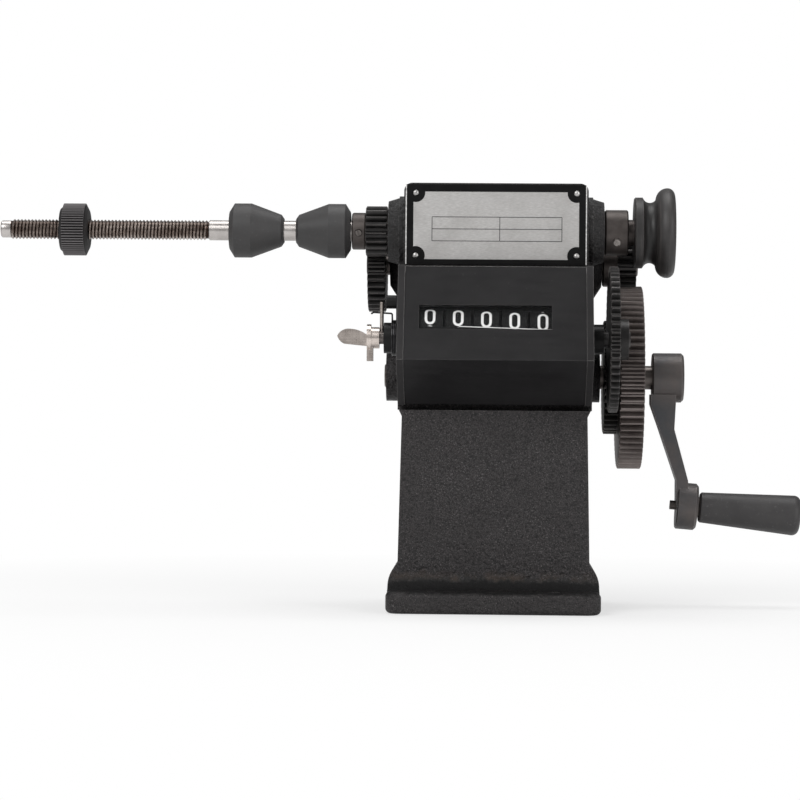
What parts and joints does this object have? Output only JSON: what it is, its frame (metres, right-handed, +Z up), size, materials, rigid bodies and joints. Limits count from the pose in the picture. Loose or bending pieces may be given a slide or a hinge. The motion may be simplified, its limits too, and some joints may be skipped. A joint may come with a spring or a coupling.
{
  "type": "coil winding machine",
  "caption": "Hand-cranked coil winder: cast stand, geared winding spindle with cones, belt pulley, crank and turns counter with reset knob.",
  "frame": {"origin": "centre of the base's underside", "axes": "+X along the spindle towards the belt pulley and crank, -Y the front with the counter window, +Z up"},
  "size_m": [0.4028, 0.141, 0.2103],
  "materials": {
    "arm_steel": "bare grey casting",
    "black_steel": "black oxide",
    "bright_steel": "ground steel",
    "bronze": "bearing bronze",
    "brown_steel": "browned steel",
    "casting_paint": "rough black casting paint",
    "cone_steel": "matte dark grey",
    "cover_paint": "satin black",
    "grip_plastic": "matte dark grey",
    "nickel": "nickel plated",
    "pane": "clear",
    "plate_metal": "brushed, with a black border",
    "pulley_paint": "dark satin",
    "rivet_metal": "bright",
    "spring_steel": "blued",
    "wheel_plastic": "black with white figures"
  },
  "bodies": {
    "stand": {"stand_casting": "casting_paint", "name_plate": "plate_metal", "plate_rivets": "rivet_metal", "spindle_bush_left": "bronze", "spindle_bush_right": "bronze", "countershaft_bush_left": "bronze", "countershaft_bush_right": "bronze", "crank_bush_left": "bronze", "crank_bush_right": "bronze", "counter_cover": "cover_paint", "counter_window": "pane", "counter_end_plate_left": "cover_paint", "counter_end_plate_right": "cover_paint", "counter_screws": "bright_steel", "carry_bar": "bright_steel", "carry_plates": "bright_steel", "carry_pinions": "bronze", "reset_spring": "spring_steel"},
    "crank": {"crank_shaft": "bright_steel", "crank_shaft_ring": "brown_steel", "crank_gear": "brown_steel", "counter_drive_gear": "black_steel", "crank_arm": "arm_steel", "crank_arm_screw": "bright_steel", "handle_pin": "nickel"},
    "handle": {"handle_grip": "grip_plastic"},
    "countershaft": {"countershaft": "bright_steel", "countershaft_gear": "black_steel", "countershaft_pinion": "black_steel", "countershaft_collar": "brown_steel"},
    "spindle": {"spindle": "bright_steel", "spindle_gear": "black_steel", "left_collar": "brown_steel", "right_collar": "brown_steel", "left_collar_screw": "bright_steel", "right_collar_screw": "bright_steel", "pulley_lock_nut": "bright_steel", "belt_pulley": "pulley_paint"},
    "outer_cone": {"outer_cone": "cone_steel"},
    "inner_cone": {"inner_cone": "cone_steel"},
    "knurled_nut": {"knurled_nut": "cone_steel"},
    "counter_drive": {"counter_shaft": "bright_steel", "counter_gear": "black_steel", "units_wheel": "wheel_plastic"},
    "tens_wheel": {"tens_wheel": "wheel_plastic"},
    "hundreds_wheel": {"hundreds_wheel": "wheel_plastic"},
    "thousands_wheel": {"thousands_wheel": "wheel_plastic"},
    "ten_thousands_wheel": {"ten_thousands_wheel": "wheel_plastic"},
    "reset_knob": {"reset_shaft": "bright_steel", "reset_pin": "nickel", "wing_nut": "nickel"}
  },
  "joints": [
    {"name": "crank_spin", "type": "hinge", "parent": "stand", "child": "crank", "pos_m": [0, 0.018, 0.11559], "axis": [1, 0, 0], "continuous": true},
    {"name": "handle_spin", "type": "hinge", "parent": "crank", "child": "handle", "pos_m": [0.09765, 0.018, 0.05059], "axis": [0.9969, 0, -0.0785], "continuous": true},
    {"name": "countershaft_spin", "type": "hinge", "parent": "stand", "child": "countershaft", "pos_m": [0, 0.018, 0.17184], "axis": [1, 0, 0], "continuous": true},
    {"name": "spindle_spin", "type": "hinge", "parent": "stand", "child": "spindle", "pos_m": [0, -0.012, 0.1873], "axis": [1, 0, 0], "continuous": true},
    {"name": "counter_spin", "type": "hinge", "parent": "stand", "child": "counter_drive", "pos_m": [0, -0.0412, 0.13358], "axis": [1, 0, 0], "continuous": true},
    {"name": "tens_turn", "type": "hinge", "parent": "stand", "child": "tens_wheel", "pos_m": [0, -0.0412, 0.13358], "axis": [1, 0, 0], "continuous": true},
    {"name": "hundreds_turn", "type": "hinge", "parent": "stand", "child": "hundreds_wheel", "pos_m": [0, -0.0412, 0.13358], "axis": [1, 0, 0], "continuous": true},
    {"name": "thousands_turn", "type": "hinge", "parent": "stand", "child": "thousands_wheel", "pos_m": [0, -0.0412, 0.13358], "axis": [1, 0, 0], "continuous": true},
    {"name": "ten_thousands_turn", "type": "hinge", "parent": "stand", "child": "ten_thousands_wheel", "pos_m": [0, -0.0412, 0.13358], "axis": [1, 0, 0], "continuous": true},
    {"name": "reset_turn", "type": "hinge", "parent": "stand", "child": "reset_knob", "pos_m": [0, -0.0412, 0.13358], "axis": [1, 0, 0], "range_deg": [0, 330], "stiffness_Nm_per_rad": 0.005, "springref_deg": -17.19},
    {"name": "outer_cone_slide", "type": "slide", "parent": "spindle", "child": "outer_cone", "axis": [1, 0, 0], "range_m": [-0.04, 0]},
    {"name": "inner_cone_slide", "type": "slide", "parent": "spindle", "child": "inner_cone", "axis": [1, 0, 0], "range_m": [-0.0055, 0.0005]},
    {"name": "nut_slide", "type": "slide", "parent": "spindle", "child": "knurled_nut", "axis": [1, 0, 0], "range_m": [-0.022, 0.028]}
  ],
  "couplings": [
    {"joint": "countershaft_spin", "follows": "crank_spin", "ratio": -4},
    {"joint": "spindle_spin", "follows": "crank_spin", "ratio": 8},
    {"joint": "counter_spin", "follows": "crank_spin", "ratio": -0.8},
    {"joint": "tens_turn", "follows": "crank_spin", "ratio": -0.08},
    {"joint": "hundreds_turn", "follows": "crank_spin", "ratio": -0.008},
    {"joint": "thousands_turn", "follows": "crank_spin", "ratio": -0.0008},
    {"joint": "ten_thousands_turn", "follows": "crank_spin", "ratio": -0.00008}
  ]
}
